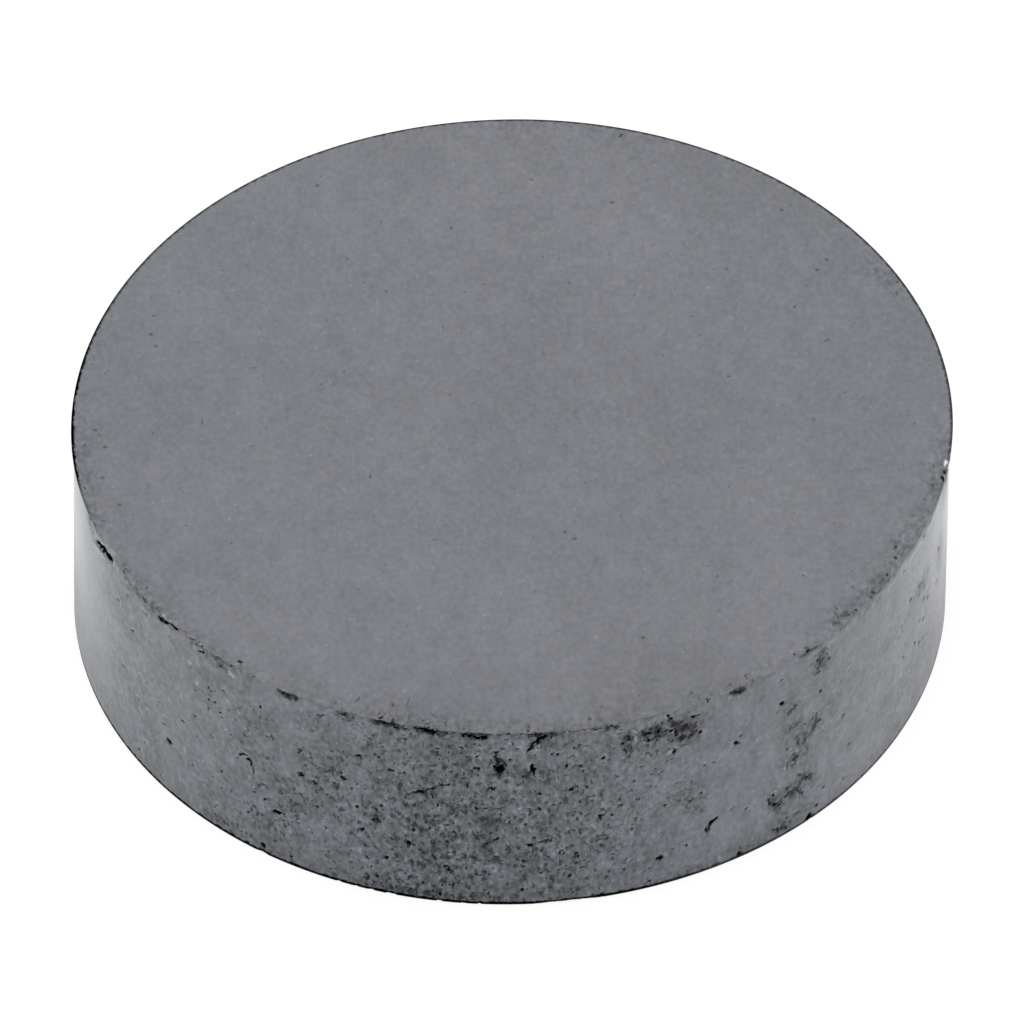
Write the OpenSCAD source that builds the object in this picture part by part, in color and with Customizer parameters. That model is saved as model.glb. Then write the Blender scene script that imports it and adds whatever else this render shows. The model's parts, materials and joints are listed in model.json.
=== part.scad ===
// Ferrite disc magnet: one plain round of pressed and sintered ceramic, magnetised from face
// to face. Both pole faces are ground flat and parallel. The round wall is left as it came out
// of the kiln, so it leans slightly out of square with the ground faces, its upper rim keeps a
// thin line of pressing flash, and the brittle edges are chipped. All sizes are in millimetres.
// The origin lies on the lower pole face, under the middle of the disc, and +Z is up.

/* [Disc] */
// Diameter of the round wall
disc_d = 18; // [8:0.5:40]
// Height between the two ground pole faces
disc_h = 4.95; // [2:0.05:12]
// How far the wall leans out of square, in degrees, its top towards +X
wall_lean = 1.2; // [0:0.1:2]

/* [Upper rim] */
// How far the pressing flash stands out from the wall
flash_out = 0.055; // [0.02:0.005:0.1]
// Height of the blunt outer edge of the flash
flash_edge = 0.1; // [0.04:0.01:0.2]
// Height over which the flash fades back into the wall below that edge
flash_fade = 0.2; // [0.1:0.02:0.3]

/* [Lower edge] */
// Width of the small break that grinding leaves around the lower pole face
edge_break = 0.05; // [0.02:0.01:0.2]

/* [Chips] */
// Length of the largest chip, measured along the rim
big_chip_len = 1.2; // [0.4:0.05:1.8]
// Depth of the largest chip, measured square to its own broken face
big_chip_depth = 0.16; // [0.05:0.01:0.3]

/* [Hidden] */
$fn = 96;

wall_r = disc_d / 2;
rim_r = wall_r + flash_out;
lean_out = disc_h / 2 * tan(wall_lean);
flash_root = 0.05;
flash_slope = flash_out / flash_fade;

// Chips along the upper rim. Each row holds the angle around the disc in degrees, the length
// along the rim, the depth, and the lean of the broken face: 90 bites straight down into the
// pole face, 0 bites straight into the wall.
UPPER_CHIPS = [
    [203, 0.70, 0.12, 15],
    [219, 0.55, 0.07, 40],
    [229, 0.25, 0.05, 40],
    [240.5, 0.55, 0.07, 35],
    [247, 0.40, 0.06, 35],
    [253, 0.60, 0.08, 30],
    [259, 0.50, 0.06, 30],
    [265, 0.50, 0.06, 30],
    [273, 0.40, 0.05, 30],
    [277.5, 0.55, 0.05, 35],
    [282, 0.40, 0.06, 30],
    [290.5, big_chip_len, big_chip_depth, 20],
    [299, 0.55, 0.07, 40],
    [312, 0.90, 0.07, 40],
    [321, 0.50, 0.06, 40],
    [348, 0.40, 0.06, 35],
];

// Chips along the lower edge, in the same form.
LOWER_CHIPS = [
    [236, 0.30, 0.07, 30],
    [301, 0.25, 0.05, 30],
];

// Radius of the ball whose bite has a given length and depth
function ball_r(len, depth) = (len * len / 4 + depth * depth) / (2 * depth);

// The pressed round, leaning, long enough to be ground off at both ends
module pressed_round() {
    translate([0, 0, disc_h / 2])
        rotate([0, wall_lean, 0])
            cylinder(r = wall_r, h = disc_h * 2, center = true);
}

// What grinding leaves of it: two flat faces and the small break around the lower one
module ground_envelope() {
    translate([-lean_out, 0, 0])
        rotate_extrude()
            polygon([
                [0, 0],
                [wall_r - edge_break, 0],
                [wall_r + disc_h, edge_break + disc_h],
                [0, edge_break + disc_h],
            ]);
}

// The flash: a ring around the upper rim that tapers down, and ends a little inside the wall
module flash_ring() {
    root_low = -flash_edge - (flash_out + flash_root) / flash_slope;
    translate([lean_out, 0, disc_h])
        rotate_extrude()
            polygon([
                [0, -flash_edge],
                [wall_r - flash_root, root_low],
                [rim_r, -flash_edge],
                [rim_r, 0],
                [0, 0],
            ]);
}

// One shell-shaped chip out of an edge of radius edge_r, as a ball that sinks depth into it
module chip(edge_r, angle, len, depth, lean) {
    r = ball_r(len, depth);
    reach = r - depth;
    rotate([0, 0, angle])
        translate([edge_r + reach * cos(lean), 0, reach * sin(lean)])
            sphere(r = r);
}

module upper_chips() {
    translate([lean_out, 0, disc_h])
        for (c = UPPER_CHIPS)
            chip(rim_r, c[0], c[1], c[2], c[3]);
}

module lower_chips() {
    translate([-lean_out, 0, 0])
        mirror([0, 0, 1])
            for (c = LOWER_CHIPS)
                chip(wall_r, c[0], c[1], c[2], c[3]);
}

module magnet_disc() {
    color([0.28, 0.29, 0.31])
        difference() {
            union() {
                intersection() {
                    pressed_round();
                    ground_envelope();
                    translate([0, 0, disc_h / 2])
                        cube([disc_d * 2, disc_d * 2, disc_h], center = true);
                }
                flash_ring();
            }
            upper_chips();
            lower_chips();
        }
}

magnet_disc();
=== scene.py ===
# %% [markdown]
# # A ferrite disc magnet
# The object is one plain round of sintered ferrite, 18 mm across and 5 mm high. Ferrite powder is
# pressed in a round die, fired until it is a hard dark grey ceramic, and ground flat on its two
# pole faces. The round wall is never ground, so it leans a little out of square with the faces,
# it keeps the pits and dark grains of the kiln, and a hair of pressing flash stands out at the
# upper rim. Nothing moves and nothing is joined on, so the whole lesson is about one surface: how
# to build it, how to damage it, and how to colour it.
#
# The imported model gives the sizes. Every size is taken a hair small, so that the finished piece
# stays inside that box.

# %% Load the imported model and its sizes
import json
from math import cos, pi, radians, sin

import bpy
import numpy as np
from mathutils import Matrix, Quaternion, Vector


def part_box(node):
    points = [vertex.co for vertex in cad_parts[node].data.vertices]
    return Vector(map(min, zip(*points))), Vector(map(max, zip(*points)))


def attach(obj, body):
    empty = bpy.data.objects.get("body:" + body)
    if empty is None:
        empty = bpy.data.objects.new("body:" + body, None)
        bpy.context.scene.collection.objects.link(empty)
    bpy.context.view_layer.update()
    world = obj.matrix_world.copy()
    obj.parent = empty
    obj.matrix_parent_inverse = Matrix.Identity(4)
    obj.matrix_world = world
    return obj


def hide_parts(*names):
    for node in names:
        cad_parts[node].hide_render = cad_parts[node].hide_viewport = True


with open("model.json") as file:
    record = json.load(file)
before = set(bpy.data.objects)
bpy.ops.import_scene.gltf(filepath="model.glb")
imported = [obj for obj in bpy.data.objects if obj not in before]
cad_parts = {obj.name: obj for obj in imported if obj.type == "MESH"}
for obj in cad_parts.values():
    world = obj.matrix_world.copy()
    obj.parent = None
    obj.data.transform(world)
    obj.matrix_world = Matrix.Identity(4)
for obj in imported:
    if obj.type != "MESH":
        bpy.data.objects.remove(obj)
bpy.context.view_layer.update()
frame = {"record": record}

MM = 0.001
disc_low, disc_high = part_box("magnet_disc")
wall = next(mount for mount in frame["record"]["mounts"] if mount["kind"] == "pin")

hair = 0.002 * MM
height = disc_high.z - hair
wall_r = wall["dims"]["r_mm"] * MM - hair
rim_r = (disc_high.y - disc_low.y) / 2 - hair
flash = rim_r - wall_r
lean = wall["axis"][0] / wall["axis"][2]
lean_out = lean * height / 2
print(f"{height / MM:.2f} mm high, wall radius {wall_r / MM:.2f} mm, flash {flash / MM:.3f} mm")
print(f"the wall leans {lean:.4f} mm out for each mm up")

# %% [markdown]
# ## The camera
# The disc is looked at from the front, 44.5 degrees above the bench, through a long lens from
# far away, so the far rim looks almost as wide as the near one. A short lens close by would make
# the near rim bulge. The view is turned by just under a degree about its own axis, and the disc
# sits a hair off the middle of the view.

# %% Camera
scene = bpy.context.scene
scene.view_settings.view_transform = "Standard"

elevation = radians(44.53)
roll = radians(-0.91)
distance = 58.6 * rim_r
lens_mm = 905.6
aside = Vector((-0.027, 0, 0)) * MM
lowered = 0.052 * MM
back = Vector((0, -cos(elevation), sin(elevation)))
up = Vector((0, sin(elevation), cos(elevation)))
aim = Vector((lean_out, 0, height / 2)) + aside - up * lowered

camera = bpy.data.objects.new("camera", bpy.data.cameras.new("camera"))
scene.collection.objects.link(camera)
camera.data.sensor_width = 36
camera.data.lens = lens_mm
camera.data.clip_start = distance / 10
camera.data.clip_end = distance * 4
camera.location = aim + back * distance
camera.rotation_mode = "QUATERNION"
camera.rotation_quaternion = Quaternion(back, roll) @ (-back).to_track_quat("-Z", "Y")
scene.camera = camera
print(f"camera {distance:.3f} m away, lens {lens_mm} mm")

# %% [markdown]
# ## Floor and light
# A small dark part is best shown on a light table: a matt white sheet that also glows a little
# from below, which leaves almost no shadow. The room is a white tent that lights evenly from all
# sides, and one wide soft lamp hangs straight overhead. The bright table and the tent are what
# make the round wall brighten towards its two ends, because a surface seen at a grazing angle
# mirrors its surroundings more strongly.

# %% Floor and light
TENT_STRENGTH = 0.3
LAMP_WIDE, LAMP_UP, LAMP_WATTS = 0.5, 0.8, 3.5
SHEET_WIDE, SHEET_GREY, SHEET_GLOW = 1.2, 0.25, 0.86

tent = bpy.data.worlds.new("white_tent")
tent.use_nodes = True
tent.node_tree.nodes["Background"].inputs["Color"].default_value = (1, 1, 1, 1)
tent.node_tree.nodes["Background"].inputs["Strength"].default_value = TENT_STRENGTH
scene.world = tent

lamp_data = bpy.data.lights.new("overhead_lamp", "AREA")
lamp_data.shape = "DISK"
lamp_data.size = LAMP_WIDE
lamp_data.energy = LAMP_WATTS
lamp = bpy.data.objects.new("overhead_lamp", lamp_data)
lamp.location = (0, 0, LAMP_UP)
scene.collection.objects.link(lamp)

edge = SHEET_WIDE / 2
table_mesh = bpy.data.meshes.new("light_table")
table_corners = [(-edge, -edge, 0), (edge, -edge, 0), (edge, edge, 0), (-edge, edge, 0)]
table_mesh.from_pydata(table_corners, [], [(0, 1, 2, 3)])
table = bpy.data.objects.new("light_table", table_mesh)
scene.collection.objects.link(table)
table_paint = bpy.data.materials.new("glowing_white_sheet")
table_paint.use_nodes = True
sheet = table_paint.node_tree.nodes["Principled BSDF"]
sheet.inputs["Base Color"].default_value = (SHEET_GREY, SHEET_GREY, SHEET_GREY, 1)
sheet.inputs["Roughness"].default_value = 0.9
sheet.inputs["Emission Color"].default_value = (1, 1, 1, 1)
sheet.inputs["Emission Strength"].default_value = SHEET_GLOW
table_mesh.materials.append(table_paint)
print(f"white tent, lamp {LAMP_UP} m up, and a light table {SHEET_WIDE} m wide")

# %% [markdown]
# ## Helpers for node trees
# A node tree built in a script is hard to read as a list of nodes and links. This small class
# wraps one output socket, so that the maths of a tree can be written as ordinary maths.

# %% Node maths that reads like maths
class Value:
    """One output socket of a node tree, which can be added, multiplied, compared and so on."""

    def __init__(self, tree, socket):
        self.tree = tree
        self.socket = socket

    def maths(self, operation, *others):
        node = self.tree.nodes.new("ShaderNodeMath")
        node.operation = operation
        for socket, value in zip(node.inputs, (self, *others)):
            feed(self.tree, socket, value)
        return Value(self.tree, node.outputs[0])

    def __add__(self, other):
        return self.maths("ADD", other)

    def __sub__(self, other):
        return self.maths("SUBTRACT", other)

    def __rsub__(self, other):
        return constant(self.tree, other) - self

    def __mul__(self, other):
        return self.maths("MULTIPLY", other)

    __radd__ = __add__
    __rmul__ = __mul__

    def __truediv__(self, other):
        return self.maths("DIVIDE", other)

    def __rtruediv__(self, other):
        return constant(self.tree, other) / self

    def at_least(self, other):
        return self.maths("MAXIMUM", other)

    def at_most(self, other):
        return self.maths("MINIMUM", other)

    def ramp(self, low, high, to_low=0.0, to_high=1.0):
        """Goes smoothly from to_low to to_high as the value goes from low to high."""
        node = self.tree.nodes.new("ShaderNodeMapRange")
        node.interpolation_type = "SMOOTHSTEP"
        stops = {"Value": self, "From Min": low, "From Max": high}
        stops |= {"To Min": to_low, "To Max": to_high}
        for name, value in stops.items():
            feed(self.tree, node.inputs[name], value)
        return Value(self.tree, node.outputs["Result"])

# %% Nodes in one line each
def feed(tree, socket, value):
    """Links a Value into a socket, or sets the socket to a plain number."""
    if isinstance(value, Value):
        tree.links.new(value.socket, socket)
    else:
        socket.default_value = value


def constant(tree, number):
    """A plain number as a Value."""
    node = tree.nodes.new("ShaderNodeValue")
    node.outputs[0].default_value = number
    return Value(tree, node.outputs[0])


def add(tree, kind, inputs=None, output=0, **settings):
    """Adds a node, sets its settings and inputs, and returns one of its outputs as a Value."""
    node = tree.nodes.new(kind)
    for name, value in settings.items():
        setattr(node, name, value)
    for name, value in (inputs or {}).items():
        feed(tree, node.inputs[name], value)
    return Value(tree, node.outputs[output])


def vector(tree, operation, *parts, output="Vector"):
    """Vector maths on two vectors, or on a vector and a number when it is SCALE."""
    node = tree.nodes.new("ShaderNodeVectorMath")
    node.operation = operation
    sockets = [node.inputs[0], node.inputs["Scale"] if operation == "SCALE" else node.inputs[1]]
    for socket, part in zip(sockets, parts):
        feed(tree, socket, part)
    return Value(tree, node.outputs[output])


def axes(tree, place):
    """The x, y and z of a vector."""
    split = add(tree, "ShaderNodeSeparateXYZ", {"Vector": place}).socket.node
    return [Value(tree, split.outputs[axis]) for axis in "XYZ"]


def shaken(tree, place, waves, reach):
    """A place shifted by noise; waves is how many there are in a metre, reach how far it goes."""
    noise = {"Vector": place, "Scale": waves, "Detail": 2.0}
    shift = add(tree, "ShaderNodeTexNoise", noise, "Color")
    shift = vector(tree, "SUBTRACT", shift, (0.5, 0.5, 0.5))
    return vector(tree, "ADD", place, vector(tree, "SCALE", shift, reach))

# %% [markdown]
# ## Helpers for Geometry Nodes
# Each step below that repeats something is a tree with named inputs. Its inputs are set on a
# modifier by the socket's identifier, the result is taken as a plain mesh, and the modifier goes
# away again.

# %% Start, end and run a geometry tree
def new_tree(name, numbers=(), objects=()):
    """Starts a geometry node tree with named inputs, and returns it with its inputs as Values."""
    tree = bpy.data.node_groups.new(name, "GeometryNodeTree")
    sockets = tree.interface
    sockets.new_socket("Geometry", in_out="INPUT", socket_type="NodeSocketGeometry")
    for label, number in dict(numbers).items():
        kind = "NodeSocketInt" if isinstance(number, int) else "NodeSocketFloat"
        sockets.new_socket(label, in_out="INPUT", socket_type=kind).default_value = number
    for label in objects:
        sockets.new_socket(label, in_out="INPUT", socket_type="NodeSocketObject")
    sockets.new_socket("Material", in_out="INPUT", socket_type="NodeSocketMaterial")
    sockets.new_socket("Geometry", in_out="OUTPUT", socket_type="NodeSocketGeometry")
    source = tree.nodes.new("NodeGroupInput")
    return tree, {socket.name: Value(tree, socket) for socket in source.outputs if socket.name}


def end_tree(tree, geometry, material):
    """Ends a tree as plain geometry with its material set."""
    plain = add(tree, "GeometryNodeRealizeInstances", {"Geometry": geometry})
    coated = add(tree, "GeometryNodeSetMaterial", {"Geometry": plain, "Material": material})
    result = tree.nodes.new("NodeGroupOutput")
    tree.links.new(coated.socket, result.inputs["Geometry"])


def run_tree(piece, tree, values):
    """Runs a tree on a piece with its inputs set, and keeps the result as a plain mesh."""
    modifier = piece.modifiers.new(tree.name, "NODES")
    modifier.node_group = tree
    for item in tree.interface.items_tree:
        if item.in_out == "INPUT" and item.name in values:
            modifier[item.identifier] = values[item.name]
    graph = bpy.context.evaluated_depsgraph_get()
    finished = piece.evaluated_get(graph)
    made = bpy.data.meshes.new_from_object(finished, preserve_all_data_layers=True, depsgraph=graph)
    piece.modifiers.remove(modifier)
    piece.data = made
    print(f"{tree.name}: {len(made.vertices)} points, {len(made.polygons)} faces")


def stored(tree, label):
    """Reads a named attribute inside a geometry tree."""
    name = {"Name": label}
    return add(tree, "GeometryNodeInputNamedAttribute", name, "Attribute", data_type="FLOAT")


def store(tree, geometry, label, value, where=True):
    """Writes a named attribute on a geometry, where the selection says so."""
    note = {"Geometry": geometry, "Name": label, "Value": value, "Selection": where}
    return add(tree, "GeometryNodeStoreNamedAttribute", note, data_type="FLOAT")


def sample(tree, geometry, field, index, kind):
    """Reads a field of a geometry at one index."""
    wanted = {"Geometry": geometry, "Index": index, "Value": field}
    return add(tree, "GeometryNodeSampleIndex", wanted, data_type=kind)

# %% [markdown]
# ## The section, and the disc spun from it
# A round part is fully described by its section, the line that runs from the middle of the
# lower face, out to the rim, up the wall and back to the middle of the upper face. Spinning
# that line about the axis gives the solid, as a lathe would. Screw or Spin would do it too, but
# a node tree can also pack the columns closer together at the front, where the wall is worst
# pitted, let the flash come and go around the rim, and slide each level sideways for the lean.

# %% The section
edge_break = 0.02 * MM
flash_edge = 0.10 * MM
flash_drop = flash_edge + 0.20 * MM
arris = 0.012 * MM
fine_ring = 0.08 * MM
FACE_BAND = 0.7 * MM
WALL_LEVELS, FADE_LEVELS, FLASH_LEVELS, FACE_RINGS = 94, 5, 3, 9


def eased(start, end, steps, power=1.0):
    """Steps from start to end, the end left out, that crowd towards start as power grows."""
    return [start + (end - start) * (i / steps) ** power for i in range(steps)]


def section_points():
    """Radius and height of each point, from the lower middle out and round to the upper middle."""
    points = [(0, 0), (wall_r * 0.9, 0), (wall_r * 0.97, 0)]
    points += [(wall_r - edge_break * 1.8, 0), (wall_r - edge_break, 0)]
    points += [(wall_r - edge_break * 0.4, edge_break * 0.5)]
    points += [(wall_r, z) for z in eased(edge_break, height - flash_drop, WALL_LEVELS)]
    for z in eased(height - flash_drop, height - flash_edge, FADE_LEVELS):
        fade = (z - height + flash_drop) / (flash_drop - flash_edge)
        points.append((wall_r + flash * fade * fade * (3 - 2 * fade), z))
    points += [(rim_r, z) for z in eased(height - flash_edge, height - arris, FLASH_LEVELS)]
    points += [(rim_r, height - arris), (rim_r - arris * 0.3, height - arris * 0.3)]
    points += [(rim_r - arris, height), (rim_r - arris * 2.5, height)]
    rings = eased(rim_r - fine_ring, wall_r - FACE_BAND, FACE_RINGS, 1.3)
    points += [(r, height) for r in rings]
    points += [(wall_r * 0.9, height), (0, height)]
    return points


section = section_points()
section_line = [(i, i + 1) for i in range(len(section) - 1)]
section_mesh = bpy.data.meshes.new("magnet_disc_section")
section_mesh.from_pydata([(r, 0, z) for r, z in section], section_line, [])
disc = bpy.data.objects.new("ferrite_disc", section_mesh)
scene.collection.objects.link(disc)
print(f"{len(section)} points in the section")

# %% Spin the section
def spin_tree():
    """Bends a flat grid into the disc: each column is one copy of the section."""
    sizes = {"Columns": 780, "Front Packing": 0.6, "Wall Radius": 0.009, "Lean": 0.0}
    sizes |= {"Half Height": 0.0025, "Flash Length": 0.001}
    tree, given = new_tree("spin_section", sizes)
    line = {"Geometry": given["Geometry"]}
    rows = add(tree, "GeometryNodeAttributeDomainSize", line, "Point Count")
    counts = {"Vertices X": given["Columns"] + 1, "Vertices Y": rows}
    grid = add(tree, "GeometryNodeMeshGrid", counts, "Mesh")
    place = add(tree, "GeometryNodeInputPosition")
    across, along, _ = axes(tree, place)

    turn = (across + 0.5) * (2 * pi)
    angle = turn - given["Front Packing"] * turn.maths("SINE") - pi / 2
    row = ((along + 0.5) * (rows - 1)).maths("ROUND")
    radius, _, level = axes(tree, sample(tree, given["Geometry"], place, row, "FLOAT_VECTOR"))

    circle = {"X": angle.maths("COSINE"), "Y": angle.maths("SINE")}
    on_circle = add(tree, "ShaderNodeCombineXYZ", circle)
    ripple = given["Wall Radius"] / given["Flash Length"]
    waves = add(tree, "ShaderNodeTexNoise", {"Vector": on_circle, "Scale": ripple, "Detail": 4.0})
    # At the front the flash is worn down by three quarters or more.
    at_front = angle.maths("SINE").ramp(0.0, -0.5)
    ragged = 1 - at_front * waves.ramp(0.62, 0.38, 0.75, 1.0)
    wall_only = radius.at_most(given["Wall Radius"])
    reach = wall_only + (radius - wall_only) * ragged
    slide = given["Lean"] * (level - given["Half Height"])
    spot = {"X": reach * angle.maths("COSINE") + slide, "Y": reach * angle.maths("SINE")}
    spun = add(tree, "ShaderNodeCombineXYZ", spot | {"Z": level})
    bent = add(tree, "GeometryNodeSetPosition", {"Geometry": grid, "Position": spun})
    # The first column meets the last one, and both ends of the section meet at the middle.
    closed = add(tree, "GeometryNodeMergeByDistance", {"Geometry": bent, "Distance": 1e-7})
    end_tree(tree, closed, given["Material"])
    return tree


def points_of(mesh):
    """The points of a mesh as rows of x, y and z."""
    flat = np.empty(len(mesh.vertices) * 3)
    mesh.vertices.foreach_get("co", flat)
    return flat.reshape(-1, 3)


ferrite = bpy.data.materials.new("sintered_ferrite")
sizes = {"Wall Radius": wall_r, "Lean": lean, "Half Height": height / 2, "Material": ferrite}
run_tree(disc, spin_tree(), sizes)

# %% [markdown]
# Firing shrinks the round a little unevenly, so the wall isn't quite round: it swells by a few
# hundredths of a millimetre low down at the right.

# %% Swell the wall
SWELL_ANGLE, SWELL_REACH, SWELL = 320, 24, 0.035 * MM
points = points_of(disc.data)
angles = np.degrees(np.arctan2(points[:, 1], points[:, 0])) % 360
swell = SWELL * np.exp(-((angles - SWELL_ANGLE) / SWELL_REACH) ** 2)
# It is full up to 1 mm above the foot and gone at 3.5 mm, and it fades towards the middle.
swell *= np.clip(1.4 - points[:, 2] / (2.5 * MM), 0, 1)
swell *= np.clip(np.hypot(points[:, 0], points[:, 1]) / wall_r, 0, 1) ** 8
points[:, 0] += swell * np.cos(np.radians(angles))
points[:, 1] += swell * np.sin(np.radians(angles))
disc.data.vertices.foreach_set("co", points.ravel())
print(f"the wall swells by up to {swell.max() / MM:.3f} mm")

# %% [markdown]
# ## Chips
# Ferrite is as brittle as china. When two magnets snap together, shells of it fly off the rim,
# and each leaves a shallow hollow that is close to part of a ball. So each chip is a ball that
# overlaps the edge: every point of the disc that lies inside it is pushed out to its surface.
# That keeps the mesh closed, where a boolean cut could leave slivers. The surface of the ball is
# roughened with noise, since a ferrite break is grainy.
#
# Each row holds the angle around the disc in degrees, the length along the rim and the depth in
# millimetres, and the lean of the break: 90 bites down into the pole face, 0 into the wall.

# %% Where the rim is chipped
UPPER_CHIPS = [
    (218.4, 0.6, 0.06, 45), (228, 0.3, 0.05, 40), (239.2, 0.5, 0.06, 35),
    (247.2, 0.4, 0.06, 35), (254, 0.6, 0.07, 30), (259, 0.5, 0.06, 30),
    (264.6, 0.55, 0.06, 30), (273.6, 0.45, 0.05, 30), (282, 0.45, 0.05, 30),
    (287.6, 0.5, 0.06, 20), (290.4, 0.7, 0.07, 20), (300, 0.5, 0.05, 40),
    (311.4, 0.5, 0.03, 60), (321.5, 0.5, 0.04, 40), (349.6, 0.5, 0.07, 30),
    (352.6, 0.3, 0.06, 45),
]
LOWER_CHIPS = [
    (235.1, 0.3, 0.04, 30), (277, 4.0, 0.04, 30), (22, 0.6, 0.06, 30), (95, 0.75, 0.08, 35),
    (148, 0.4, 0.06, 30),
]


def chip_balls(chips, edge_r, side):
    """The middle and radius of each chip's ball; side is 1 on the upper edge, -1 on the lower."""
    edge_z = height if side > 0 else 0
    for angle, length, depth, tilt in chips:
        ball = (length * length / 4 + depth * depth) / (2 * depth) * MM
        out = edge_r + (ball - depth * MM) * cos(radians(tilt))
        level = edge_z + side * (ball - depth * MM) * sin(radians(tilt))
        x = out * cos(radians(angle)) + side * lean_out
        yield (x, out * sin(radians(angle)), level), ball


def point_object(name, places, label, numbers, edges=()):
    """An object of loose points, or points joined by edges, with one number stored for each."""
    mesh = bpy.data.meshes.new(name)
    mesh.from_pydata(places, edges, [])
    mesh.attributes.new(label, "FLOAT", "POINT").data.foreach_set("value", numbers)
    holder = bpy.data.objects.new(name, mesh)
    scene.collection.objects.link(holder)
    return holder


balls = [*chip_balls(UPPER_CHIPS, rim_r, 1), *chip_balls(LOWER_CHIPS, wall_r, -1)]
middles, ball_sizes = zip(*balls)
chips = point_object("chip_balls", middles, "ball_radius", ball_sizes)
print(f"{len(balls)} chips, the largest ball {max(ball_sizes) / MM:.2f} mm in radius")

# %% Push the disc out of each ball
def chip_tree():
    """Takes the balls one by one, and moves the points inside each out to its surface."""
    tree, given = new_tree("chip_edge", {"Roughness": 0.00003, "Grain": 0.00012}, ["Balls"])
    cloud = add(tree, "GeometryNodeObjectInfo", {"Object": given["Balls"]}, "Geometry")
    count = add(tree, "GeometryNodeAttributeDomainSize", {"Geometry": cloud}, "Point Count")
    place = add(tree, "GeometryNodeInputPosition")
    first = tree.nodes.new("GeometryNodeRepeatInput")
    last = tree.nodes.new("GeometryNodeRepeatOutput")
    first.pair_with_output(last)
    feed(tree, first.inputs["Iterations"], count)
    feed(tree, first.inputs["Geometry"], given["Geometry"])

    turn = Value(tree, first.outputs["Iteration"])
    middle = sample(tree, cloud, place, turn, "FLOAT_VECTOR")
    radius = sample(tree, cloud, stored(tree, "ball_radius"), turn, "FLOAT")
    away = vector(tree, "SUBTRACT", place, middle)
    gap = vector(tree, "LENGTH", away, output="Value")
    grain = {"Vector": place, "Scale": 1 / given["Grain"], "Detail": 3.0}
    rough = radius + (add(tree, "ShaderNodeTexNoise", grain) - 0.5) * given["Roughness"]
    inside = add(tree, "FunctionNodeCompare", {"A": gap, "B": rough}, operation="LESS_THAN")
    on_ball = vector(tree, "ADD", middle, vector(tree, "SCALE", away, rough / gap))
    before = Value(tree, first.outputs["Geometry"])
    moving = {"Geometry": before, "Selection": inside, "Position": on_ball}
    pushed = add(tree, "GeometryNodeSetPosition", moving)
    feed(tree, last.inputs["Geometry"], store(tree, pushed, "broken", 1.0, inside))
    end_tree(tree, Value(tree, last.outputs["Geometry"]), given["Material"])
    return tree


disc.data.attributes.new("broken", "FLOAT", "POINT")
run_tree(disc, chip_tree(), {"Balls": chips, "Material": ferrite})
bpy.data.objects.remove(chips)

# %% [markdown]
# ## Where the wall is dirty
# The fired wall isn't the same all round. Some stretches are nearly smooth, and others are
# crowded with pits and dark grains, where the powder was packed less tightly. A soft patch is
# the simplest way to say so: a middle, given by its angle and its height, and a reach each way.
# The patches are painted on the mesh as one attribute, and both the pits and the colour read it.
# The back of the wall can't be known from the front, so it's given a few patches of the same kind.
#
# Clusters are small patches, where grains crowd round a chip or along a crack.
#
# Each row holds the angle, the height in mm, the reach in degrees and in mm, and the strength.
# A height above the rim runs on over the edge and in across the face.

# %% Dirty patches
FRONT_PATCHES = [
    # on the wall
    (197, 4.75, 4, 0.3, 0.8), (209, 4.0, 9, 1.2, 0.55), (212, 2.6, 10, 3.6, 0.42),
    (213, 4.92, 8, 0.3, 1.35), (214, 0.6, 9, 0.6, 0.3), (219, 4.6, 5, 0.6, 0.35),
    (226, 1.1, 8, 1.1, 0.5), (226, 3.6, 5, 1.4, 0.35), (227, 4.92, 8, 0.28, 1.15),
    (231, 4.0, 6, 0.6, 0.35), (232, 0.3, 11, 0.3, 0.8), (232, 2.3, 6, 1.6, 0.45),
    (233, 3.1, 7, 1.6, 0.7), (236, 1.0, 9, 1.2, 0.8), (239, 1.6, 7, 1.2, 0.95),
    (246, 2.8, 8, 1.6, 1.05), (256, 0.2, 18, 0.35, 1.2), (261, 2.2, 22, 4.5, 1.15),
    (274, 2.2, 16, 4.5, 1.0), (276, 4.5, 15, 0.9, 0.8), (286, 1.0, 10, 1.0, 0.5),
    (287, 3.3, 6, 2.0, 0.65), (288, 4.2, 7, 0.8, 0.9), (290, 2.4, 6, 0.8, 0.5),
    (292.5, 2.4, 3, 0.4, 0.9), (294, 0.2, 18, 0.25, 0.7), (298, 3.6, 5, 1.2, 0.2),
    (308, 0.9, 5, 0.9, 0.6), (310, 2.5, 3.2, 1.3, 0.6), (313, 4.4, 4, 0.7, 0.45),
    (316, 3.0, 4, 1.0, 0.35), (336, 2.4, 10, 2.6, 0.35), (342, 4.88, 9, 0.15, 0.9),
    (347, 3.0, 3, 0.8, 0.5), (350, 4.6, 4, 0.6, 0.5),
    # over the edge and in across the face
    (27, 5.3, 5, 0.5, 0.6), (186, 5.15, 10, 0.25, 0.7), (196, 5.05, 4, 0.2, 0.9),
    (268, 4.95, 24, 0.15, 1.0), (300, 5.1, 12, 0.25, 0.6), (319, 5.15, 3, 0.25, 1.4),
    (324, 5.2, 10, 0.4, 1.1), (335, 5.4, 1.6, 0.35, 1.5), (337, 5.2, 8, 0.35, 0.9),
    (350, 5.15, 8, 0.3, 1.0),
]
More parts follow.
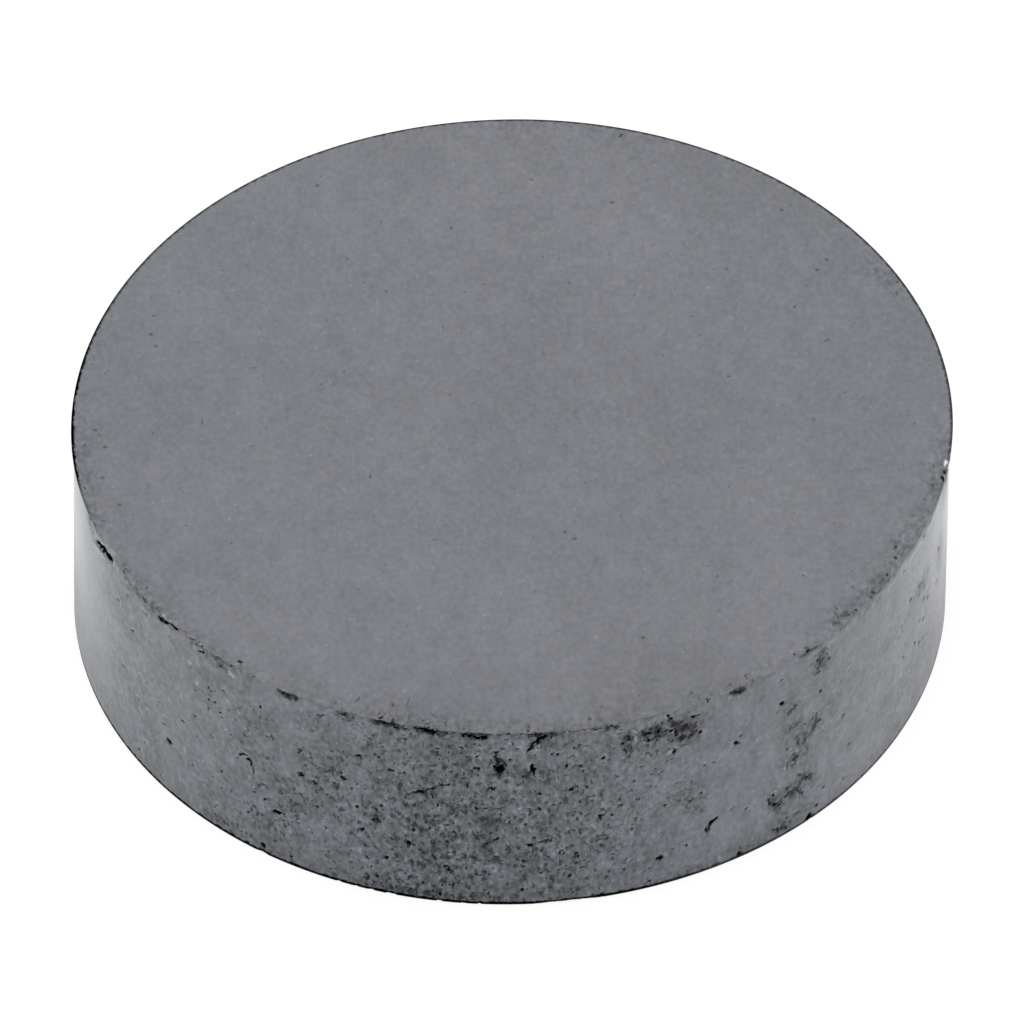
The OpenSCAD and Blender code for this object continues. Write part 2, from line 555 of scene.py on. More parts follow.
CLUSTERS = [
    (228, 4.75, 2, 0.16, 1.6), (239, 4.88, 2, 0.16, 2.0), (247.5, 4.82, 2, 0.2, 1.8),
    (253, 4.9, 3, 0.14, 2.0), (258, 2.2, 4, 0.6, 1.4), (258, 4.9, 4, 0.16, 2.1),
    (258.5, 3.1, 3, 0.18, 1.5), (262, 3.6, 3, 0.5, 1.4), (264.8, 4.88, 2.6, 0.18, 2.1),
    (267, 2.4, 4, 0.5, 1.4), (268, 4.0, 1.6, 0.4, 1.7), (271.5, 3.8, 1.4, 0.24, 1.5),
    (273.4, 4.9, 2.6, 0.16, 2.0), (282, 4.88, 2, 0.12, 1.5), (285, 4.35, 1.8, 0.45, 1.5),
    (289, 4.47, 5, 0.3, 2.1), (292.4, 4.25, 3, 0.38, 1.9), (294, 2.0, 2.5, 0.3, 1.0),
    (300.2, 4.88, 2, 0.16, 1.7), (306.5, 1.0, 1.6, 0.35, 1.3), (307, 0.3, 2, 0.2, 1.4),
    (308.9, 3.5, 1.2, 0.18, 1.3), (309, 2.1, 1.8, 0.3, 1.3), (309, 3.0, 2.2, 0.2, 1.3),
    (309.5, 1.15, 2.6, 0.35, 1.3), (310.8, 2.45, 2, 0.35, 1.4), (311.5, 1.35, 1.6, 0.25, 1.3),
    (311.5, 4.97, 2.6, 0.14, 1.7), (312.8, 2.75, 1.8, 0.3, 1.4), (314, 4.4, 1.4, 0.45, 1.4),
    (338, 3.3, 4, 0.4, 0.8),
]
BACK_PATCHES = [
    (38, 1.7, 12, 2.0, 0.5), (82, 3.0, 16, 2.2, 0.8), (133, 1.5, 14, 1.5, 0.6),
    (160, 3.7, 8, 1.2, 0.4),
]

# %% Paint the dirt
MOST_DIRT = 1.6
SKIN_FADE = 0.2 * MM
DIRT_FADE = 0.5 * MM


def paint(mesh, label, values):
    """Stores one number for each point of a mesh."""
    layer = mesh.attributes.get(label) or mesh.attributes.new(label, "FLOAT", "POINT")
    layer.data.foreach_set("value", np.asarray(values, dtype=np.float32))


points = points_of(disc.data)
upright = points[:, 0] - lean * (points[:, 2] - height / 2)
angles = np.degrees(np.arctan2(points[:, 1], upright)) % 360
outward = np.hypot(points[:, 1], upright)
over_edge = np.where(points[:, 2] > height - arris, np.maximum(rim_r - outward, 0), 0)
levels = (points[:, 2] + over_edge) / MM

# The stronger of two patches counts.
dirt = np.zeros(len(points))
for angle, level, wide, tall, strength in FRONT_PATCHES + CLUSTERS + BACK_PATCHES:
    around = (angles - angle + 180) % 360 - 180
    far = np.hypot(around / wide, (levels - level) / tall)
    dirt = np.maximum(dirt, strength * np.exp(-far ** 2))
dirt = np.minimum(dirt, MOST_DIRT)
# Skin is 1 on the fired wall and 0 on the ground faces.
skin = np.clip((outward - wall_r + SKIN_FADE) / SKIN_FADE, 0, 1)
skin *= points[:, 2] < height - 0.5 * arris
paint(disc.data, "skin", skin)

# Grinding keeps the faces clean: past either edge the dirt is gone within 0.75 mm.
under_edge = np.where(points[:, 2] < arris, np.maximum(wall_r - outward, 0), 0)
on_rim = np.clip(1.5 - (over_edge + under_edge) / DIRT_FADE, 0, 1)
paint(disc.data, "dirt", dirt * on_rim)
print(f"dirt covers {np.mean(dirt[skin > 0.9] > 0.3):.0%} of the wall")

# %% [markdown]
# ## Painted shade at the rim and a painted shadow at the foot
# A thin dark line of painted shade follows the rim of the upper face, where grinding has broken
# the arris. It is boldest at the left, steady round the back, faint at the front, where the edge is
# chipped, and all but gone on either side of that. A second line, a painted contact shadow,
# follows the foot of the wall just above the bench, and it is boldest at the front. Each is
# painted as a strength that goes up and down with the angle, and the colour turns that into a
# line with a ragged edge. On an image the lines would need an unwrapped disc, and would blur.
#
# Each pair holds the angle in degrees and the strength there.

# %% The strength of the two lines
# Painted shade along the rim of the upper face.
RIM_SHADE = [
    (0, 0.7), (150, 0.7), (183, 1.2), (188, 1.2), (191, 0.5), (198, 0.2), (206, 0.1), (240, 0.1),
    (248, 0.4), (284, 0.4), (290, 0), (340, 0), (350, 0.5), (355, 0.6), (360, 0.7),
]
# A painted contact shadow along the foot of the wall.
CONTACT_SHADOW = [
    (0, 0.6), (190, 0.6), (205, 0.9), (215, 1.0), (286, 1.0), (296, 0.75), (320, 0.7), (335, 0.5),
    (360, 0.6),
]
for label, stops in {"rim_shade": RIM_SHADE, "contact_shadow": CONTACT_SHADOW}.items():
    at_angles, strengths = zip(*stops)
    paint(disc.data, label, np.interp(angles, at_angles, strengths))
print(f"rim line set at {len(RIM_SHADE)} angles, foot line at {len(CONTACT_SHADOW)}")

# %% [markdown]
# ## Cracks, scars and open pores
# The marks that can be told apart one by one are placed one by one, on the unrolled wall: an
# angle in degrees and a height in mm for every point. A stroke is a crack or a scar, and a spot
# is a pore or a loose grain. The first number is its width in mm, and the second is how dark it
# is. 1 is black in the middle, more than 1 stays black up to the edges, and less than 0 is a
# painted highlight, a bright spot where a crystal or a chipped face catches the light.

# %% Strokes near the upper rim
STROKES = [
    (0.2, 3.5, [(199.3, 4.59), (200.4, 4.69), (201.9, 4.77), (203.8, 4.8)]),
    # The strokes below 0 are painted highlights, where a chipped face catches the light.
    (0.08, -0.8, [(198.0, 4.36), (199.6, 4.42), (201.6, 4.5)]),
    (0.06, -0.9, [(208.2, 4.75), (209, 4.88)]),
    (0.11, 1.5, [(216.2, 4.76), (217.5, 4.82), (219, 4.86), (220.3, 4.89)]),
    (0.05, -0.8, [(216.8, 4.98), (218.8, 5.02)]),
    (0.09, 1.0, [(238, 4.88), (240, 4.9)]),
    (0.06, 0.9, [(246.5, 4.92), (247.3, 4.85), (247.8, 4.7)]),
    (0.1, 1.0, [(251.2, 4.9), (252.4, 4.92), (253.8, 4.86), (254.6, 4.78)]),
    (0.14, 1.2, [(257, 4.88), (258.5, 4.9), (259.6, 4.86)]),
    (0.12, 1.1, [(263, 4.9), (264.3, 4.87), (265, 4.78)]),
    (0.12, 1.1, [(265, 4.78), (266.2, 4.86)]),
    (0.05, 0.7, [(259.6, 4.91), (263, 4.92), (270.8, 4.92), (277, 4.92), (283.5, 4.89)]),
    (0.12, 1.1, [(272.2, 4.92), (273.3, 4.92), (274.1, 4.86)]),
    (0.14, 1.2, [(271.6, 4.42), (272, 4.58), (272.8, 4.7), (273.6, 4.82)]),
    (0.12, 1.1, [(267.3, 4.4), (267.6, 4.05), (267.7, 3.72)]),
    (0.16, 1.2, [(267.2, 3.96), (268.4, 4.02)]),
    (0.13, 1.1, [(272.1, 3.99), (272.1, 3.82), (270.8, 3.7)]),
    (0.09, 0.9, [(286.4, 4.58), (287, 4.45), (288.5, 4.46), (290, 4.4)]),
    (0.08, 0.8, [(290, 4.4), (291.5, 4.35), (292.7, 4.45)]),
    (0.09, 1.0, [(289.9, 4.9), (290.1, 4.8), (290.4, 4.7)]),
    (0.09, 0.9, [(293.3, 4.62), (294.3, 4.58)]),
    (0.09, 1.0, [(292.8, 4.0), (293.5, 4.1), (294.3, 4.15), (294.7, 4.05)]),
    (0.08, 0.8, [(284, 4.2), (284.8, 3.9)]),
    (0.09, 0.8, [(299.6, 4.83), (300.8, 4.83)]),
    (0.07, 0.7, [(310, 4.9), (311.4, 4.93), (312.5, 4.9)]),
    (0.07, 0.8, [(313, 4.62), (313.2, 4.45)]),
    (0.08, 0.5, [(315.1, 4.4), (315.5, 4.15)]),
    (0.07, 0.7, [(322.8, 4.85), (323.2, 4.75)]),
    (0.12, 1.0, [(349.5, 4.7), (350.3, 4.62), (351.2, 4.5)]),
]

# %% Strokes lower on the wall
STROKES += [
    (0.09, 0.9, [(231.4, 2.5), (232.2, 2.6), (233.2, 2.52), (233.8, 2.1)]),
    (0.08, 0.7, [(234.5, 1.87), (235.2, 2.0), (236.3, 1.93)]),
    (0.09, 0.9, [(236.8, 1.35), (238.2, 1.42)]),
    (0.07, 0.8, [(241.4, 1.1), (241.4, 0.9)]),
    (0.06, 0.7, [(243.8, 1.8), (245, 1.65)]),
    (0.07, 0.7, [(246.2, 2.8), (246.2, 2.6)]),
    (0.08, 0.8, [(256.5, 3.05), (257.5, 3.12), (258.8, 3.2), (260, 3.38), (261.2, 3.38)]),
    (0.09, 0.9, [(255.5, 2.65), (256.8, 2.72), (257.2, 2.78)]),
    (0.08, 0.7, [(264.8, 2.78), (266.4, 2.8), (268, 2.76)]),
    (0.09, 0.8, [(266.2, 1.75), (267.6, 1.92)]),
    (0.09, 0.8, [(271.6, 1.72), (273, 1.76), (274.6, 1.85)]),
    (0.08, 0.8, [(273.8, 1.42), (274.6, 1.25)]),
    (0.08, 0.8, [(276.2, 3.23), (277.3, 3.23)]),
    (0.08, 0.8, [(277.8, 1.45), (278.2, 1.3)]),
    (0.1, 1.0, [(260.9, 1.03), (261.3, 0.97), (261.6, 0.85)]),
    (0.07, 0.7, [(280, 1.67), (282.2, 1.67)]),
    (0.08, 0.7, [(284.7, 2.95), (285.5, 2.95)]),
    (0.08, 0.6, [(292.5, 2.1), (294, 2.25)]),
    (0.11, 1.0, [(296, 1.12), (296, 1.28), (296.6, 1.38), (297.3, 1.42)]),
    (0.08, 0.7, [(299.2, 1.5), (300, 1.57)]),
    (0.08, 0.7, [(308.2, 3.46), (309.4, 3.52)]),
    (0.07, 0.7, [(309.1, 2.95), (310.3, 2.92), (311.2, 2.87)]),
    (0.09, 0.7, [(313.1, 2.95), (313.8, 2.68)]),
    (0.1, 0.8, [(312.8, 2.55), (312, 2.5), (311.2, 2.42)]),
    (0.07, 0.7, [(309.5, 2.25), (308.7, 2.15), (308.3, 2.0), (308.2, 1.85)]),
    (0.07, 0.7, [(311.2, 2.25), (311.8, 2.08), (310.4, 2.02), (309.2, 2.05)]),
    (0.1, 0.8, [(310.3, 1.5), (311.3, 1.34), (312.4, 1.2)]),
    (0.08, 0.8, [(309.4, 1.2), (310.5, 1.0), (311.2, 0.75)]),
    (0.09, 0.9, [(305.1, 1.3), (305.8, 1.1), (306.8, 1.0), (307, 0.85), (307.4, 0.7)]),
    (0.09, 0.8, [(308, 1.35), (308.8, 1.15), (309.4, 1.1)]),
    (0.07, 0.7, [(309.4, 0.44), (310.5, 0.44)]),
    (0.08, 0.8, [(306.2, 0.32), (307, 0.25), (308.2, 0.2)]),
    (0.08, 0.7, [(311.8, 0.52), (312.8, 0.4), (313.8, 0.27)]),
    (0.07, 0.6, [(313.5, 0.87), (314.8, 0.65)]),
    (0.06, 0.6, [(314.8, 3.08), (315.8, 3.0)]),
    (0.06, 0.4, [(337.3, 2.95), (339, 2.85)]),
    (0.08, 0.9, [(92, 3.8), (93.5, 3.4), (93.2, 2.9)]),
    (0.1, 0.9, [(78, 2), (80, 1.7), (83, 1.8)]),
    (0.1, 0.9, [(131, 1.2), (133, 0.9), (136, 1)]),
    (0.08, 0.8, [(30, 2.5), (32, 2.9)]),
]
print(f"{len(STROKES)} strokes")

# %% Spots
BLACK_SPOTS = [
    (218.2, 1.47), (235.1, 0.2), (300.7, 0.1), (312.1, 0.1), (240.8, 2.73), (242.8, 2.62),
    (249, 3.75), (253.4, 3.58), (249.6, 1.68), (252.8, 1.03), (255.9, 1.58), (257.5, 3.12),
    (264.7, 3.9), (266.7, 3.36), (268, 3.93), (268.4, 4.05), (289.1, 0.77), (299.9, 3.35),
    (312, 2.5), (291, 3.75), (291.8, 4.08), (307.1, 3.85),
]
GREY_SPOTS = [
    (224.9, 4.78), (228, 4.72), (226.4, 3.85), (226.8, 3.58), (228.8, 4.06), (223.3, 2.82),
    (221, 2.38), (223.8, 2.27), (226.6, 2.55), (229.7, 2.95), (217.3, 1.85), (223, 1.32),
    (228, 1.7), (213, 0.73), (211.5, 0.4), (224.8, 1.05), (222.6, 0.55), (229.2, 1.3),
    (227.4, 0.62), (232.2, 3.12), (233.6, 3.97), (234.6, 4.17), (235.4, 3.75), (235.1, 2.85),
    (235.3, 1.6), (233.8, 1.22), (232.8, 0.98), (236.3, 0.15), (237.8, 2.0), (238, 1.2),
    (239.4, 0.7), (240.8, 4.03), (240.7, 3.42), (241.6, 3.05), (240.8, 2.15), (241.3, 1.68),
    (243.6, 4.6), (245.3, 3.12), (246.9, 3.05), (251.3, 3.95), (248.9, 2.3), (252.2, 2.5),
    (253.4, 2.75), (254.3, 1.2), (250.2, 0.4), (262.6, 4.5), (259.9, 4.2), (263.2, 3.62),
    (277.6, 4.43), (279.1, 4.44), (277.6, 3.9), (277.5, 3.35), (274.8, 2.85), (274.8, 2.55),
    (279, 2.45), (276.1, 1.4), (273.8, 0.96), (274.7, 0.7), (265.3, 0.85), (281.3, 1.8),
    (277.1, 0.77), (261.8, 0.2), (258, 0.5), (283.8, 4.32), (284.6, 4.43), (288.5, 4.22),
    (290, 3.87), (281.3, 4.03), (281.2, 3.1), (283.9, 2.57), (287.1, 2.2), (289.7, 2.27),
    (291.6, 2.82), (293.3, 2.72), (295.3, 3.08), (292.8, 0.95), (288, 0.58), (284.3, 0.7),
    (282.7, 1.07), (287.4, 0.2), (301.5, 1.33), (300.6, 3.52), (306.7, 4.55), (306.6, 3.7),
    (313.5, 4.12), (318.3, 2.32), (319.5, 1.35), (318.5, 0.5), (338.7, 4.72), (334.7, 3.5),
    (332.8, 2.1),
]
# Painted highlights, where a crystal catches the light.
PAINTED_GLINTS = [
    (229.8, 4.68), (222.5, 4.22), (223.8, 3.78), (290.2, 3.78), (306.2, 1.4), (319.2, 3.57),
    (208.1, 4.77),
]
SPOTS = [(0.14, 1.0, stop) for stop in BLACK_SPOTS]
SPOTS += [(0.09, 0.75, stop) for stop in GREY_SPOTS]
SPOTS += [(0.09, -0.9, stop) for stop in PAINTED_GLINTS]
# The spot at -3.0 is a painted highlight, a glint on a fresh chip at the rim.
SPOTS += [(0.10, -3.0, (351.2, 5.00)), (0.06, 1.0, (349.6, 4.97)), (0.06, 0.8, (347.9, 5.02))]
print(f"{len(SPOTS)} spots")

# %% Put the marks on the disc
def on_the_disc(angle, level):
    """The point at one angle and height; a height above the rim runs in across the face."""
    over = max(level * MM - height, 0)
    z = level * MM - over
    x = (rim_r - over) * cos(radians(angle)) + lean * (z - height / 2)
    return x, (rim_r - over) * sin(radians(angle)), z


SPOT_DEGREES = 0.2


def marks_object(strokes, spots):
    """Strokes as joined points and spots as short strokes, with a radius and a darkness each."""
    places, joins, radii, darkness = [], [], [], []
    short = [(width, dark, [at, (at[0] + SPOT_DEGREES, at[1])]) for width, dark, at in spots]
    for width, dark, path in strokes + short:
        start = len(places)
        places += [on_the_disc(*stop) for stop in path]
        joins += [(start + i, start + i + 1) for i in range(len(path) - 1)]
        radii += [width / 2 * MM] * len(path)
        darkness += [dark] * len(path)
    holder = point_object("marks", places, "pit_radius", radii, joins)
    paint(holder.data, "pit_dark", darkness)
    return holder


marks = marks_object(STROKES, SPOTS)
print(f"{len(marks.data.vertices)} points in the marks")

# %% [markdown]
# ## Pits
# The rest of the pits are far too many to place by hand, so a node tree scatters them over the
# dirty patches, thickest where the dirt is thickest and thinner on the ground faces, with a
# fixed seed. The placed marks join them as chains of closely spaced pits, each drawn in to the
# nearest point of the surface. Each point of the disc then looks up its nearest pit and sinks by
# how far inside it lies. It looks from a place that noise has shifted a little, which turns round
# dents into crooked ones. How dark each pit is stays on the mesh as an attribute, for the colour
# to read, and so does the paler lip around it. A sculpted or boolean pit would do for a
# few, but not for thousands.

# %% Scatter and press the pits
def random_size(tree, smallest, largest, seed):
    """A random number for each point."""
    node = tree.nodes.new("FunctionNodeRandomValue")
    node.data_type = "FLOAT"
    for name, value in {"Min": smallest, "Max": largest, "Seed": seed}.items():
        socket = next(s for s in node.inputs if s.name == name and s.enabled)
        feed(tree, socket, value)
    return Value(tree, next(s for s in node.outputs if s.enabled))


def pit_tree():
    """Scatters pits, adds the marks as chains of pits, and sinks the surface into all of them."""
    sizes = {"Pits Per Square Metre": 25e6, "Share On Faces": 0.35, "Seed": 5}
    sizes |= {"Smallest": 0.000025, "Largest": 0.000055, "Darkness": 0.72, "Spacing": 0.00003}
    sizes |= {"Depth": 0.5, "Deepest": 1.3, "Crookedness": 0.00017, "Waves Per Metre": 12000.0}
    tree, given = new_tree("press_pits", sizes, ["Marks"])
    place = add(tree, "GeometryNodeInputPosition")
    dirt = stored(tree, "dirt")
    crowd = {"Mesh": given["Geometry"], "Seed": given["Seed"]}
    on_wall = stored(tree, "skin").at_least(given["Share On Faces"])
    crowd["Density"] = given["Pits Per Square Metre"] * dirt * dirt * on_wall
    scatter = add(tree, "GeometryNodeDistributePointsOnFaces", crowd, "Points")
    chance = random_size(tree, given["Smallest"], given["Largest"], given["Seed"])
    dots = store(tree, scatter, "pit_radius", chance)
    dots = store(tree, dots, "pit_dark", given["Darkness"])

    lines = add(tree, "GeometryNodeObjectInfo", {"Object": given["Marks"]}, "Geometry")
    curves = add(tree, "GeometryNodeMeshToCurve", {"Mesh": lines})
    even = {"Curve": curves, "Length": given["Spacing"]}
    even = add(tree, "GeometryNodeResampleCurve", even, mode="LENGTH")
    chain = add(tree, "GeometryNodeCurveToPoints", {"Curve": even}, "Points", mode="EVALUATED")
    on_skin = add(tree, "GeometryNodeProximity", {"Geometry": given["Geometry"]}, "Position")
    chain = add(tree, "GeometryNodeSetPosition", {"Geometry": chain, "Position": on_skin})
    joined = tree.nodes.new("GeometryNodeJoinGeometry")
    for part in (dots, chain):
        tree.links.new(part.socket, joined.inputs[0])
    cloud = Value(tree, joined.outputs[0])

    looked = shaken(tree, place, given["Waves Per Metre"], given["Crookedness"])
    search = {"Geometry": cloud, "Sample Position": looked}
    nearest = add(tree, "GeometryNodeSampleNearest", search, domain="POINT")
    middle = sample(tree, cloud, place, nearest, "FLOAT_VECTOR")
    radius = sample(tree, cloud, stored(tree, "pit_radius"), nearest, "FLOAT")
    dark = sample(tree, cloud, stored(tree, "pit_dark"), nearest, "FLOAT")
    apart = vector(tree, "SUBTRACT", looked, middle)
    gap = vector(tree, "LENGTH", apart, output="Value") / radius
    # The gap is counted in pit radii: a hollow inside, and a lip round it.
    hollow = gap.ramp(1.3, 0.8)
    lip = gap.ramp(1.05, 1.35) * gap.ramp(2.1, 1.5) * dark.at_least(0)
    sink = hollow * radius * given["Depth"] * dark.at_least(0).at_most(given["Deepest"]) * -1
    along_normal = vector(tree, "SCALE", add(tree, "GeometryNodeInputNormal"), sink)
    sunk = {"Geometry": given["Geometry"], "Offset": along_normal}
    kept = add(tree, "GeometryNodeSetPosition", sunk)
    for label, value in {"pit": hollow * dark, "lip": lip}.items():
        kept = store(tree, kept, label, value)
    end_tree(tree, kept, given["Material"])
    return tree


run_tree(disc, pit_tree(), {"Marks": marks, "Material": ferrite})
bpy.data.objects.remove(marks)

# %% [markdown]
# ## The ferrite finish
# Bare ferrite is one dark grey ceramic, but it shows two finishes. The ground faces are even and
# matt, with a fine grain and a few open pores. The fired wall is a little glossier, so it
# brightens where it turns away, and it is speckled where it is dirty. One material covers both:
# the attributes painted above say which finish is where, and noise on the object's own
# coordinates gives the grain, so nothing slides when the part or the camera moves.

# %% Helpers for the material
def noise_of(tree, place, size, detail=2.0, roughness=0.5):
    """Noise with features of about one size, in metres."""
    inputs = {"Vector": place, "Scale": 1 / size, "Detail": detail, "Roughness": roughness}
    return add(tree, "ShaderNodeTexNoise", inputs, "Fac")


def moved(tree, place, by):
    """The same place shifted by some metres, so that a second noise differs from the first."""
    return vector(tree, "ADD", place, (by, by, by))


def painted(tree, label):
    """Reads an attribute of the mesh inside a material."""
    return add(tree, "ShaderNodeAttribute", output="Fac", attribute_name=label)


def larger(first, *others):
    """The largest of several values."""
    for other in others:
        first = first.at_least(other)
    return first

# %% [markdown]
# ### The ground faces
# Grinding leaves an even grey with a fine grain, faint clouds and a few open pores. All of it
# is noise, from specks of 0.1 mm to clouds of 3 mm, drawn out a little along Y. The few pores
# that are large enough to be told apart are placed one by one, in mm from the middle of the disc.

# %% The ground faces
FACE_SPOTS = [
    (-8.3, -0.5), (-8.5, 0), (-8.35, -1.4), (-8, -2.2), (-7.35, 2.8), (-7.25, 2.45), (6.6, 4.7),
    (6.4, 4.4), (8.05, 4), (1.3, -3.4), (1.1, -3.2), (-3.9, 7.15), (2.2, 6.5), (5.7, 6.2),
    (7, -5.6), (2.65, -6.3),
]
SPOT_REACH, SPOT_CORE = 0.06 * MM, 0.03 * MM


def face_pattern(tree, place, dirt):
    """The ground face: grain, clouds, a few open pores, and grime near the front edge."""
    place = vector(tree, "MULTIPLY", place, (1, 0.68, 1))
    grain = noise_of(tree, place, 0.11 * MM, 1.0) - 0.5
    patches = noise_of(tree, place, 0.30 * MM, 3.0, 0.6) - 0.5
    clouds = noise_of(tree, place, 3.0 * MM, 4.0, 0.6) - 0.5
    pores = noise_of(tree, moved(tree, place, 0.1), 0.12 * MM, 1.0)
    pores = (pores - dirt * 0.13).ramp(0.27, 0.16)
    specks = noise_of(tree, moved(tree, place, 0.2), 0.10 * MM, 1.0).ramp(0.68, 0.80)
    tone = 1 + grain * (0.38 + dirt) + patches * (0.36 + dirt) + clouds * 0.32
    return tone * (1 - pores * 0.5) * (1 + specks * 0.25) * (1 - dirt * 0.16)


def face_spots(tree, x, y):
    """The few large pores of the face."""
    dark = constant(tree, 0)
    for spot_x, spot_y in FACE_SPOTS:
        across, along = x - spot_x * MM, y - spot_y * MM
        gap = (across * across + along * along).maths("SQRT")
        dark = larger(dark, gap.ramp(SPOT_REACH, SPOT_CORE))
    return dark


print(f"{len(FACE_SPOTS)} pores placed on the upper face")

# %% [markdown]
# ### The fired wall
# The kiln leaves clouds, dark and light grains, and small black dots, and all of them crowd
# where the wall is dirty. The dots come from a Voronoi pattern: each cell holds one, with a size
# of its own. Noise bends the place where the pattern is read, so that the dots turn out crooked
# and not round.

# %% The fired wall
def dots_of(tree, place, size, reach):
    """Crooked dots about one size apart; reach is their radius as a share of that size."""
    cells = {"Vector": shaken(tree, place, 2.5 / size, size), "Scale": 1 / size}
    gap = add(tree, "ShaderNodeTexVoronoi", cells, "Distance")
    chance = axes(tree, add(tree, "ShaderNodeTexVoronoi", cells, "Color"))[0]
    return (gap / (reach * (0.5 + chance)).at_least(0.01)).ramp(1.0, 0.45)


def wall_pattern(tree, place, dirt):
    """The fired wall's tone, where it is dark, and its grain."""
    place = vector(tree, "MULTIPLY", place, (1, 0.55, 0.7))
    grain = noise_of(tree, place, 0.10 * MM, 1.0) - 0.5
    clouds = noise_of(tree, place, 0.40 * MM, 4.0, 0.6) - 0.5
    small = noise_of(tree, moved(tree, place, 0.2), 0.13 * MM, 2.5, 0.6)
    light = noise_of(tree, moved(tree, place, 0.4), 0.10 * MM, 1.0)
    dark = (small - dirt * 0.15).ramp(0.30, 0.17)
    dots = dots_of(tree, moved(tree, place, 0.3), 0.17 * MM, dirt * 0.32)
    bright = (light + dirt * 0.09).ramp(0.67, 0.77)
    tone = 1 + grain * (0.4 + 1.4 * dirt) + clouds * (1.1 + 1.1 * dirt)
    tone = tone.at_least(0.2) * (1 - dirt * 0.33) * (1 - dark * 0.68) * (1 - dots * 0.62)
    return tone * (1 + bright * 0.45), larger(dark, dots), grain

# %% [markdown]
# ### Both finishes in one material
# The wall's tone takes over from the face's where the skin attribute says so. Holes, the two
# black lines and the fresh breaks then darken it. The holes are dark partly from dust and partly
# as painted shade for their depth; the lines are painted shade at the rim and a painted contact
# shadow at the foot. Painted highlights lighten the glints. Black ceramic still shines when it is
# seen from low down, so the black places are also made rough and metallic, because a black metal
# mirrors nothing. A faint bump adds the relief that is too fine for the mesh.

# %% The black lines and the colour
FACE_TONE, WALL_TONE = 0.2368, 0.75
FACE_ROUGH, WALL_ROUGH, DIRT_ROUGH, BREAK_ROUGH = 0.6, 0.17, 0.25, 0.3
FOOT_DUST, FOOT_SHADE = 0.18, 0.12
LINE_WIDE, LINE_SOLID = 0.08 * MM, 0.03 * MM
FOOT_WIDE, FOOT_SOLID = 0.12 * MM, 0.08 * MM
RAGGED_SIZE = RAGGED_REACH = 0.12 * MM
BLACKEST = 0.97
RELIEF, RELIEF_HIGH = 0.5, 0.010 * MM


def painted_shade_lines(tree, place, ragged, skin):
    """Painted shade inside the upper rim and a painted contact shadow at the foot of the wall."""
    x, y, z = axes(tree, place)
    across = x - lean_out
    reach = (across * across + y * y).maths("SQRT") + ragged * RAGGED_REACH
    rim = reach.ramp(rim_r - LINE_WIDE, rim_r - LINE_SOLID)
    rim = rim * (z - height).ramp(-0.02 * MM, -0.01 * MM) * painted(tree, "rim_shade")
    foot = (z + ragged * RAGGED_REACH).ramp(FOOT_WIDE, FOOT_SOLID) * painted(tree, "contact_shadow")
    return larger(rim, foot * skin), reach


def tinted(tree, place, skin, tone):
    """The tone as a colour: a cool grey whose red comes and goes a little in patches."""
    hue = noise_of(tree, moved(tree, place, 0.5), 0.3 * MM, 2.0, 0.7) - 0.5
    drift = noise_of(tree, place, 6.0 * MM, 1.0) - 0.5
    red = FACE_TONE * (1.005 + hue * (0.25 - 0.1 * skin) + drift * 0.10)
    green = FACE_TONE * (1.045 + skin * 0.035)
    blue = FACE_TONE * (1.148 + skin * 0.085)
    tint = add(tree, "ShaderNodeCombineXYZ", {"X": red, "Y": green, "Z": blue})
    return vector(tree, "SCALE", tint, tone)

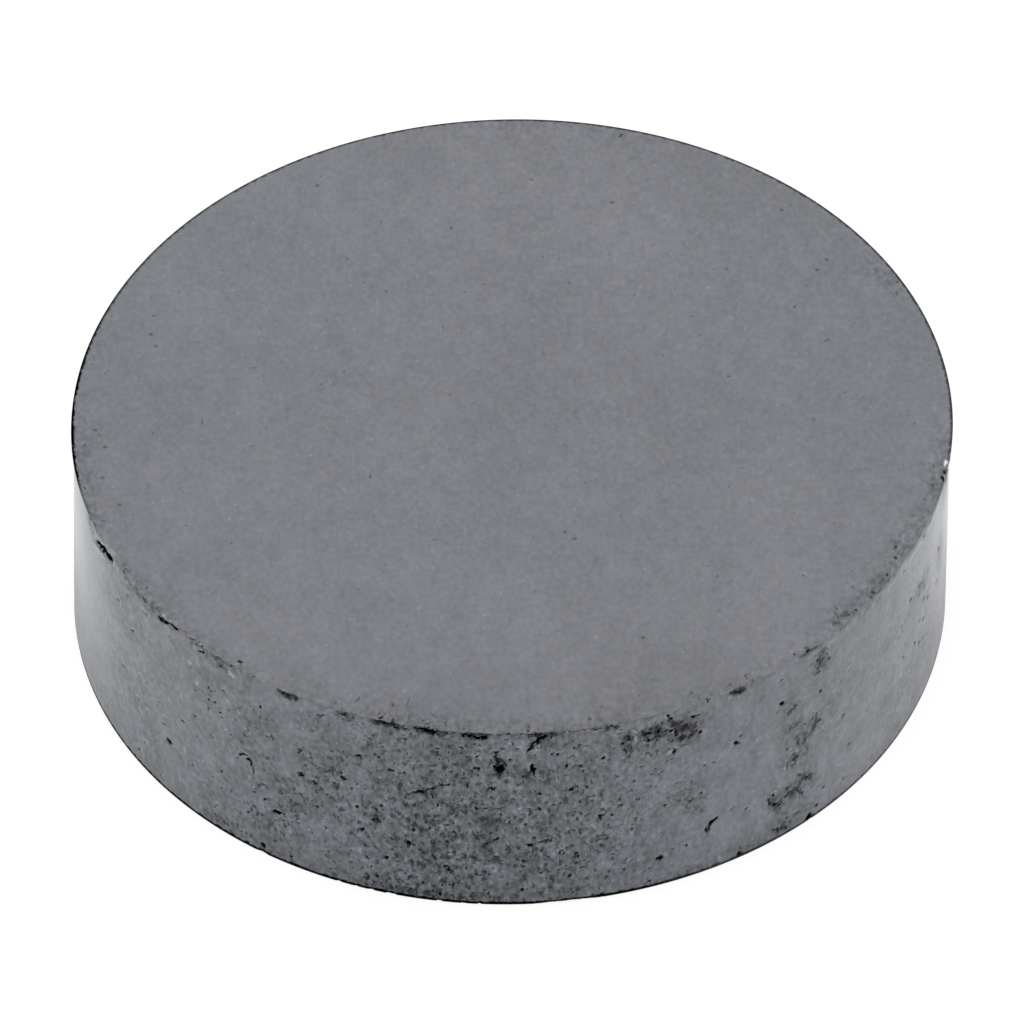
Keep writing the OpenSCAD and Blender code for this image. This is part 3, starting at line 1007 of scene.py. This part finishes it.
# %% Put the finish together
def finish_ferrite(material):
    """Builds the whole ferrite material."""
    material.use_nodes = True
    tree = material.node_tree
    shader = tree.nodes["Principled BSDF"]
    place = add(tree, "ShaderNodeTexCoord", output="Object")
    labels = ("skin", "dirt", "pit", "lip", "broken")
    skin, dirt, pit, lip, broken = (painted(tree, label) for label in labels)
    x, y, z = axes(tree, place)
    ragged = noise_of(tree, place, RAGGED_SIZE, 3.0, 0.6) - 0.5
    black, reach = painted_shade_lines(tree, place, ragged, skin)

    # Painted shade: the upper face is a little darker at its front edge and in the middle,
    # and a hair lighter towards the back.
    face = face_pattern(tree, place, dirt) * (1 - y.ramp(-5.5 * MM, -8.7 * MM) * 0.10)
    face = face * (1 + y.ramp(1.0 * MM, 8.0 * MM) * 0.015) * (1 - reach.ramp(5.0 * MM, 0.0) * 0.025)
    face = face * (1 - face_spots(tree, x, y) * 0.45)
    wall_tone, dark, grain = wall_pattern(tree, place, dirt)
    tone = face + (wall_tone * WALL_TONE - face) * skin

    # Below 0 the pit attribute marks a painted highlight, above 0 a hole.
    glint = (pit * -1).at_least(0)
    hole = pit.at_least(0)
    hole = (hole + hole * grain * 2.5).ramp(0.1, 1.05)
    low = z.ramp(1.0 * MM, 0.0)
    # The holes are painted nearly black: partly dust in them, partly painted shade for their depth.
    tone = tone * (1 - hole * BLACKEST) * (1 + lip * 0.2 + glint * 1.3)
    # The two painted lines darken it, and the wall's lowest millimetre is painted darker as shade
    # near the bench.
    tone = tone * (1 - broken * 0.25) * (1 - black * BLACKEST) * (1 - skin * low * FOOT_SHADE)
    feed(tree, shader.inputs["Base Color"], tinted(tree, place, skin, tone))
    swallow = larger(hole, black, skin * dark * 0.6, broken * 0.15)
    feed(tree, shader.inputs["Metallic"], swallow)

    foot_dust = z.ramp(3.4 * MM, 0.2 * MM) * FOOT_DUST
    rough = FACE_ROUGH + (WALL_ROUGH + foot_dust - FACE_ROUGH) * skin + DIRT_ROUGH * dirt
    rough = larger(rough, larger(hole, black)) + BREAK_ROUGH * broken
    feed(tree, shader.inputs["Roughness"], rough.at_most(1.0))
    shader.inputs["IOR"].default_value = 1.5

    relief = ragged * 0.3 + skin * (grain - dark)
    bump = {"Height": relief, "Strength": RELIEF, "Distance": RELIEF_HIGH}
    feed(tree, shader.inputs["Normal"], add(tree, "ShaderNodeBump", bump, "Normal"))


finish_ferrite(ferrite)
print(f"{len(ferrite.node_tree.nodes)} nodes in the ferrite material")

# %% [markdown]
# ## Smooth wall, crisp rims
# The wall is smooth-shaded, or its columns would show as flats. The rims stay crisp, because
# edges between faces that meet at more than 50 degrees are marked sharp.

# %% Shading
SHARP = 50
disc.data.shade_smooth()
disc.data.set_sharp_from_angle(angle=radians(SHARP))
disc.data.name = "ferrite_disc"
print(f"{sum(edge.use_edge_sharp for edge in disc.data.edges)} edges marked sharp")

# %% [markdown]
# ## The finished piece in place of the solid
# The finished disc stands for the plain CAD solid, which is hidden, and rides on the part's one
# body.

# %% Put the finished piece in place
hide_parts("magnet_disc")
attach(disc, "root")
